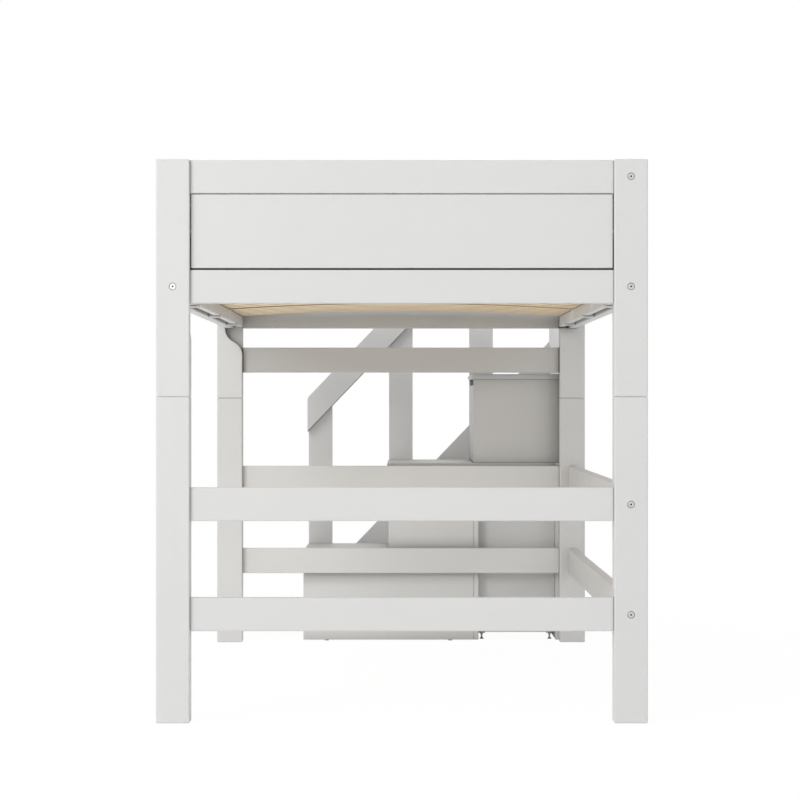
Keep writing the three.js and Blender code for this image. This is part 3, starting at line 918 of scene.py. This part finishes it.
@dataclass
class SocketBolt:
    """A flat-headed bolt with a hexagon socket, let into its seat."""

    head_radius: float = 8.2 * MM
    head_depth: float = 3.6 * MM
    socket_radius: float = 2.9 * MM
    socket_depth: float = 2.6 * MM
    # The dark disc of painted shade at the socket's bottom: its depth, gap and dish
    socket_shade_depth: float = 0.8 * MM
    socket_shade_gap: float = 0.15 * MM
    sunk: float = 0.9 * MM
    sides: int = 32
    crowning: Steps = ((0.9 * MM, 0.35 * MM), (0.8 * MM, 0.1 * MM))
    socket_shade_dish: Steps = ((0.6 * MM, -0.3 * MM),)
    rounding: float = 0.18 * MM

    def build(self, name: str, seat: Vector, facing: Facing) -> Piece:
        """Models one bolt head.

        Args:
            name: The bolt's name.
            seat: The middle of the seat's mouth, on the post's face.
            facing: The way the head looks.

        Returns:
            The head.
        """
        out = Vector(facing.value)
        front = seat - out * self.sunk
        head = add_disc(name, self.head_radius, self.head_depth, front, facing, self.sides)
        crown(head, facing, self.crowning)
        mouth = front + out * self.socket_depth
        cut_with(head, add_disc("socket", self.socket_radius, 2 * self.socket_depth, mouth, facing, HEXAGON))
        apply_bevel(head, self.rounding)
        return head

    def build_socket_shade(self, name: str, seat: Vector, facing: Facing) -> Piece:
        """Models a dark disc at the bottom of a head's socket, which stands for the shade inside it.

        Args:
            name: Its name.
            seat: The middle of the seat's mouth.
            facing: The way the head looks.

        Returns:
            The bottom.
        """
        front = seat - Vector(facing.value) * (self.sunk + self.socket_depth - self.socket_shade_depth)
        socket_shade = add_disc(name, self.socket_radius - self.socket_shade_gap, self.socket_shade_depth, front, facing, HEXAGON)
        crown(socket_shade, facing, self.socket_shade_dish)
        return socket_shade


@dataclass
class CrossScrew:
    """A countersunk screw with a cross recess."""

    head_radius: float = 3.8 * MM
    head_depth: float = 1.6 * MM
    slot_width: float = 0.9 * MM
    slot_length: float = 4.4 * MM
    slot_height: float = 1.4 * MM
    proud: float = 0.25 * MM
    sides: int = 20
    crowning: Steps = ((0.5 * MM, 0.12 * MM),)

    def build(self, name: str, seat: Vector, facing: Facing) -> Piece:
        """Models one screw head, just proud of its board.

        Args:
            name: The screw's name.
            seat: The point on the board's face.
            facing: The way the head looks.

        Returns:
            The head.
        """
        out = Vector(facing.value)
        front = seat + out * self.proud
        head = add_disc(name, self.head_radius, self.head_depth, front, facing, self.sides)
        crown(head, facing, self.crowning)
        size = Vector((self.slot_length, self.slot_width, self.slot_height))
        for quarter in (0.0, math.pi / 2):
            turn = UPWARD.rotation_difference(out) @ Quaternion(UPWARD, quarter)
            cut_with(head, add_cube("recess", front, size, turn))
        return head


# Sub-assemblies


@dataclass
class PostHardware:
    """The bolts in the posts' seats and the dowel tips on their tops."""

    bolt_levels: tuple[float, ...] = (1.4675, 1.172, 0.587, 0.291)
    capped_level: float = 1.172
    pin_radius: float = 5 * MM
    pin_length: float = 6 * MM
    pin_rise: float = 0.8 * MM
    pin_inset: float = 15 * MM
    pin_sides: int = 24
    pin_crowning: Steps = ((1.2 * MM, 0.7 * MM), (1.4 * MM, 0.4 * MM))
    bolt: SocketBolt = field(default_factory=SocketBolt)

    def build(self) -> None:
        """Models every bolt and dowel tip of the four posts."""
        for end, facing in (("near", Facing.NEAR), ("far", Facing.FAR)):
            for side in ("left", "right"):
                self.add_bolts(end, side, facing)
                self.add_pin(end, side)

    def add_bolts(self, end: str, side: str, facing: Facing) -> None:
        """Models the bolts of one post: four plain ones, or one lacquered white, each with a dark disc of
        painted shade in its socket.

        Args:
            end: The post's end of the bed.
            side: Its side.
            facing: The way its bolts look.
        """
        low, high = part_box(f"upper_post_{end}_{side}")
        capped = side == "left"
        levels = (self.capped_level,) if capped else self.bolt_levels
        face = low.y if facing is Facing.NEAR else high.y
        seat = Vector(((low.x + high.x) / 2, face, levels[0]))
        heads = [self.bolt.build(f"bolt_{end}_{side}_1", seat, facing)]
        socket_shades = [self.bolt.build_socket_shade(f"bolt_core_{end}_{side}_1", seat, facing)]
        for number, level in enumerate(levels[1:], start=2):
            shift = Vector((0, 0, level - levels[0]))
            heads.append(copy_to(heads[0], f"bolt_{end}_{side}_{number}", shift))
            socket_shades.append(copy_to(socket_shades[0], f"bolt_core_{end}_{side}_{number}", shift))
        for head in heads:
            hand_over(head, WHITE_CAP if capped else ZINC)
        for socket_shade in socket_shades:
            hand_over(socket_shade, DARK_STEEL)

    def add_pin(self, end: str, side: str) -> None:
        """Models the tip of the dowel that shows on a post's top.

        Args:
            end: The post's end of the bed.
            side: Its side.
        """
        low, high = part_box(f"upper_post_{end}_{side}")
        y = low.y + self.pin_inset if end == "near" else high.y - self.pin_inset
        tip = Vector(((low.x + high.x) / 2, y, high.z + self.pin_rise))
        name = f"dowel_tip_{end}_{side}"
        pin = add_disc(name, self.pin_radius, self.pin_length, tip, Facing.UP, self.pin_sides)
        crown(pin, Facing.UP, self.pin_crowning)
        hand_over(pin, PAINT[Run.UPRIGHT])


@dataclass
class LedgerScrews:
    """The screws that hold the ledgers to the side rails, one at each spacer."""

    shares: tuple[float, ...] = (0.1, 0.483, 0.853)
    rise: float = 7.5 * MM
    screw: CrossScrew = field(default_factory=CrossScrew)

    def build(self) -> None:
        """Models the screws of both ledgers."""
        for side, facing in (("left", Facing.RIGHT), ("right", Facing.LEFT)):
            low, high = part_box(f"{side}_ledger")
            x = high.x if side == "left" else low.x
            z = low.z + self.rise
            places = [Vector((x, low.y + share * (high.y - low.y), z)) for share in self.shares]
            first = self.screw.build(f"ledger_screw_{side}_1", places[0], facing)
            hand_over(first, DARK_STEEL)
            for number, at in enumerate(places[1:], start=2):
                copy = copy_to(first, f"ledger_screw_{side}_{number}", at - places[0])
                hand_over(copy, DARK_STEEL)


@dataclass
class SlatTapes:
    """The woven tapes that hold the slats, each a little larger than the solid strip it covers."""

    width: float = 25.6 * MM
    thickness: float = 3.5 * MM
    place_share: float = 0.6
    arch: float = 21 * MM
    lift: float = 1.0 * MM
    end_gap: float = 0.4 * MM
    rounding: float = 0.5 * MM

    def build(self) -> None:
        """Models two tapes on each slat section."""
        for section in (1, 2, 3):
            low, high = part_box(f"slat_section_{section}")
            for side, sign in (("left", -1.0), ("right", 1.0)):
                self.add_tape(f"tape_{section}_{side}", low, high, sign)

    def add_tape(self, name: str, low: Vector, high: Vector, sign: float) -> None:
        """Models one tape.

        Args:
            name: The tape's name.
            low: Lowest corner of its slat section.
            high: Highest corner of its slat section.
            sign: The side it lies on, as -1 or 1.
        """
        top = high.z - self.arch * self.place_share**2 + self.lift
        middle = Vector((sign * self.place_share * high.x, (low.y + high.y) / 2, top))
        size = Vector((self.width, high.y - low.y - self.end_gap, self.thickness))
        tape = add_cube(name, middle, size)
        apply_bevel(tape, self.rounding)
        hand_over(tape, TAPE)


@dataclass
class Glides:
    """The plastic glides under the stepped sides of the stair."""

    width: float = 14.6 * MM
    height: float = 3.0 * MM
    inset: float = 84 * MM
    overlap: float = 0.6 * MM
    clearance: float = 0.1 * MM
    toe: float = 0.7 * MM
    rounding: float = 0.4 * MM

    def build(self) -> None:
        """Models two glides under each stepped side."""
        for end in ("near", "far"):
            low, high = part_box(f"stair_side_{end}")
            for side, x in (("left", low.x + self.inset), ("right", high.x - self.inset)):
                at = Vector((x, (low.y + high.y) / 2, self.height / 2))
                self.add_glide(f"glide_{end}_{side}", at, high.y - low.y)

    def add_glide(self, name: str, middle: Vector, depth: float) -> None:
        """Models one glide with a smaller toe.

        Args:
            name: The glide's name.
            middle: Its middle.
            depth: The thickness of its side board.
        """
        size = Vector((self.width, depth + self.overlap, self.height - self.clearance))
        glide = add_cube(name, middle, size)
        inset_faces(glide, lambda face: face.normal.z < -SQUARE_ON, self.toe, 0.0)
        apply_bevel(glide, self.rounding)
        hand_over(glide, GREY_GLIDE)


@dataclass
class FootNuts:
    """The lock nuts on the levelling feet."""

    radius: float = 5.6 * MM
    height: float = 4.0 * MM
    drop: float = 4.2 * MM
    crowning: Steps = ((0.5 * MM, 0.3 * MM),)
    rounding: float = 0.2 * MM

    def build(self) -> None:
        """Models one nut under the flange of each foot."""
        for end in ("near", "far"):
            for side in ("left", "right"):
                low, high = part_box(f"levelling_foot_{end}_{side}")
                bottom = (low + high) / 2
                bottom.z = high.z - self.drop - self.height
                name = f"foot_nut_{end}_{side}"
                nut = add_disc(name, self.radius, self.height, bottom, Facing.DOWN, HEXAGON)
                crown(nut, Facing.DOWN, self.crowning)
                apply_bevel(nut, self.rounding)
                hand_over(nut, DULL_ZINC)


@dataclass
class FrameDressing:
    """The finishes of the CAD nodes, with the wood running the long way of each board."""

    birch_nodes: tuple[str, ...] = ("slat_section_1", "slat_section_2", "slat_section_3")
    panels: tuple[tuple[str, Run, float], ...] = (
        ("near_panel", Run.ALONG, -1.0),
        ("far_panel", Run.ALONG, 1.0),
        ("left_panel", Run.ACROSS, -1.0),
        ("right_panel", Run.ACROSS, 1.0),
    )
    zinc_prefix: str = "levelling_foot"
    handrail: str = "handrail"
    square: float = 0.05
    slope: float = 0.3
    banister: tuple[str, ...] = ("upright", "landing_rail", "stringer")
    # Boards that get the darker white and the far-reaching painted shade
    deep: tuple[str, ...] = ("far_bed_rail", "far_stair_rail", "top_box_side_near")
    open_edged: tuple[str, ...] = ("stair_back_panel", "cupboard_wall")
    # Boards whose paint gets strong painted shade in seams and hollows, unless listed as open-edged just
    # above
    sheltered: tuple[str, ...] = (
        "left_bed", "right_bed", "left_ledger", "right_ledger", "upper_post_far",
        "stair", "top_box", "tread", "drawer", "cupboard",
    )

    def build(self, nodes: dict[str, Piece]) -> None:
        """Dresses every node.

        Args:
            nodes: The CAD nodes by name.
        """
        for name, node in sorted(nodes.items()):
            finish = self.finish_of(name, node)
            node.data.materials.clear()
            node.data.materials.append(finish.material())
            LOG.info("%s is dressed in %s", name, finish.name)

    def finish_of(self, name: str, node: Piece) -> Finish:
        """Chooses a node's finish by its name and its longest side.

        Args:
            name: The node's name.
            node: The node.

        Returns:
            Its finish.
        """
        if name in self.birch_nodes:
            return BIRCH
        if name.startswith(self.zinc_prefix):
            return DULL_ZINC
        low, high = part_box(name)
        for panel, across, outward in self.panels:
            if name == panel:
                axis = "xyz".index(across.value)
                run = Run.ACROSS if across is Run.ALONG else Run.ALONG
                middle = (low[axis] + high[axis]) / 2
                return GroovedPaint(
                    f"grooved_{name}", WHITE, SATIN, run, across=across, middle=middle, outward=outward
                )
        size = high - low
        run = max(zip(size, Run), key=lambda pair: pair[0])[1]
        # The handrail and the banister get the lighter white, which is painted light
        if name == self.handrail:
            downward, reach = self.lower_edge(node)
            return RailPaint("handrail_paint", BANISTER_LIT_WHITE, SATIN, run, downward=downward, reach=reach)
        if name.startswith(self.banister):
            return BANISTER_LIT_PAINT[run]
        if name in self.deep:
            return DEEP_SHADE_PAINT
        sheltered = name.startswith(self.sheltered) and name not in self.open_edged
        return (SHELTERED_SHADE_PAINT if sheltered else PAINT)[run]

    def lower_edge(self, node: Piece) -> tuple[Pair, float]:
        """Finds the sloping handrail's lower edge.

        Args:
            node: The handrail.

        Returns:
            The x and z parts of the direction square to the edge, and how far the edge lies that way.
        """
        below = [
            face
            for face in node.data.polygons
            if abs(face.normal.y) < self.square
            and face.normal.z < -self.slope
            and face.normal.x > self.slope
        ]
        face = max(below, key=lambda face: face.area)
        return (face.normal.x, face.normal.z), face.center.x * face.normal.x + face.center.z * face.normal.z


@dataclass(frozen=True)
class SoftLight:
    """A square soft light."""

    name: str
    at: Triple
    aim: Triple
    size: float
    power: float

    def hang(self) -> None:
        """Adds the light to the scene."""
        data = bpy.data.lights.new(self.name, "AREA")
        data.size = self.size
        data.energy = self.power
        lamp = bpy.data.objects.new(self.name, data)
        lamp.location = self.at
        lamp.rotation_euler = (Vector(self.aim) - Vector(self.at)).to_track_quat("-Z", "Y").to_euler()
        bpy.context.scene.collection.objects.link(lamp)


@dataclass(frozen=True)
class FrontLight:
    """A soft light on a circle round the bed, given by two angles as seen from the bed."""

    name: str
    turn: float
    rise: float
    power: float
    size: float = 2.6
    reach: float = 9.0
    height: float = 0.6

    def soft_light(self) -> SoftLight:
        """Works out the light's place, with its aim at the middle of the bed.

        Returns:
            The light.
        """
        turn, rise = math.radians(self.turn), math.radians(self.rise)
        up = self.height + self.reach * math.tan(rise)
        at = (self.reach * math.sin(turn), -self.reach * math.cos(turn), up)
        return SoftLight(self.name, at, (0.0, 0.0, self.height), self.size, self.power)


@dataclass
class Studio:
    """The camera at the photograph's place, a pale floor and soft light."""

    lens: float = 100.0
    sensor: float = 36.0
    view_end: float = 200.0
    distance: float = 5.960
    height: float = 0.862
    side: float = -0.0097
    shift: Pair = (0.002125, 0.0025)
    floor_size: float = 60.0
    floor_drop: float = 0.6 * MM
    floor_grey: float = 0.95
    floor_reach: float = 3.2
    floor_white: float = 0.95
    floor_glow: float = 0.1
    sky: float = 0.56
    front_lights: tuple[FrontLight, ...] = (
        FrontLight("key_low", -38.0, 11.0, 34.0),
        FrontLight("key", -38.0, 20.0, 142.0),
        FrontLight("key_high", -38.0, 35.0, 44.0),
        FrontLight("fill", 38.0, 18.0, 72.0),
    )
    lights: tuple[SoftLight, ...] = (
        SoftLight("left_side", (-7.0, 0.0, 1.8), (0.0, 0.0, 0.6), 4.0, 23.0),
        SoftLight("right_side", (7.0, 0.0, 1.8), (0.0, 0.0, 0.6), 4.0, 11.0),
        SoftLight("high_left", (-4.0, -5.0, 7.0), (0.0, 0.0, 0.6), 3.0, 210.0),
        SoftLight("behind", (0.0, 6.0, 6.0), (0.0, 0.0, 0.6), 3.0, 84.0),
    )

    def build(self, low: Vector) -> None:
        """Sets up camera, floor and light.

        Args:
            low: Lowest corner of the object.
        """
        self.add_camera(low)
        self.add_floor()
        for light in (*self.lights, *(light.soft_light() for light in self.front_lights)):
            light.hang()
        self.set_world()
        view = bpy.context.scene.view_settings
        view.view_transform = "Standard"
        view.look = "None"

    def add_camera(self, low: Vector) -> None:
        """Puts the camera level, straight before the bed's near end.

        Args:
            low: Lowest corner of the object.
        """
        data = bpy.data.cameras.new("camera")
        data.lens = self.lens
        data.sensor_width = self.sensor
        data.shift_x, data.shift_y = self.shift
        data.clip_end = self.view_end
        camera = bpy.data.objects.new("camera", data)
        camera.location = (self.side, low.y - self.distance, self.height)
        camera.rotation_euler = (math.pi / 2, 0.0, 0.0)
        bpy.context.scene.collection.objects.link(camera)
        bpy.context.scene.camera = camera

    def add_floor(self) -> None:
        """Lays the pale floor just under the posts, which fades into the background."""
        bpy.ops.mesh.primitive_plane_add(size=self.floor_size, location=(0.0, 0.0, -self.floor_drop))
        floor = bpy.context.active_object
        floor.name = "floor"
        material = bpy.data.materials.new("pale_floor")
        material.use_nodes = True
        material.node_tree.nodes.clear()
        graph = Graph(material.node_tree)
        matte = graph.add("ShaderNodeBsdfDiffuse", {"Color": (self.floor_grey,) * 3})
        glow = graph.add("ShaderNodeEmission", {"Strength": self.floor_glow})
        bounce = graph.add("ShaderNodeAddShader", {0: matte.outputs[0], 1: glow.outputs[0]})
        white = graph.add("ShaderNodeEmission")
        distance = graph.add("ShaderNodeVectorMath", {0: graph.own()}, operation="LENGTH")
        away = graph.ramp(distance.outputs["Value"], 0.0, self.floor_reach, to_low=self.floor_white)
        graph.put_out("ShaderNodeOutputMaterial", bounce, white, away)
        floor.data.materials.append(material)
        floor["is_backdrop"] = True

    def set_world(self) -> None:
        """Makes the background white and its light on the object softer."""
        world = bpy.data.worlds.new("studio")
        world.use_nodes = True
        bpy.context.scene.world = world
        world.node_tree.nodes.clear()
        graph = Graph(world.node_tree)
        white = {"Color": (1.0, 1.0, 1.0)}
        seen = graph.add("ShaderNodeBackground", white)
        lighting = graph.add("ShaderNodeBackground", {**white, "Strength": self.sky})
        graph.put_out("ShaderNodeOutputWorld", lighting, seen, 1.0)


def main() -> None:
    """Loads the frame, builds every sub-assembly and hands the pieces over."""
    logging.basicConfig(level=logging.INFO, format="%(name)s: %(message)s")
    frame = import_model()
    cad_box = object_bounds()
    SHARED.update(
        eased_edge=eased_edge_group(),
        seam_shade=seam_shade_group(),
        paint_film=paint_film_group(),
        wood_figure=wood_figure_group(),
    )
    Studio().build(cad_box[0])
    FrameDressing().build(frame["nodes"])
    PostHardware().build()
    LedgerScrews().build()
    SlatTapes().build()
    Glides().build()
    FootNuts().build()


if __name__ == "__main__":
    main()
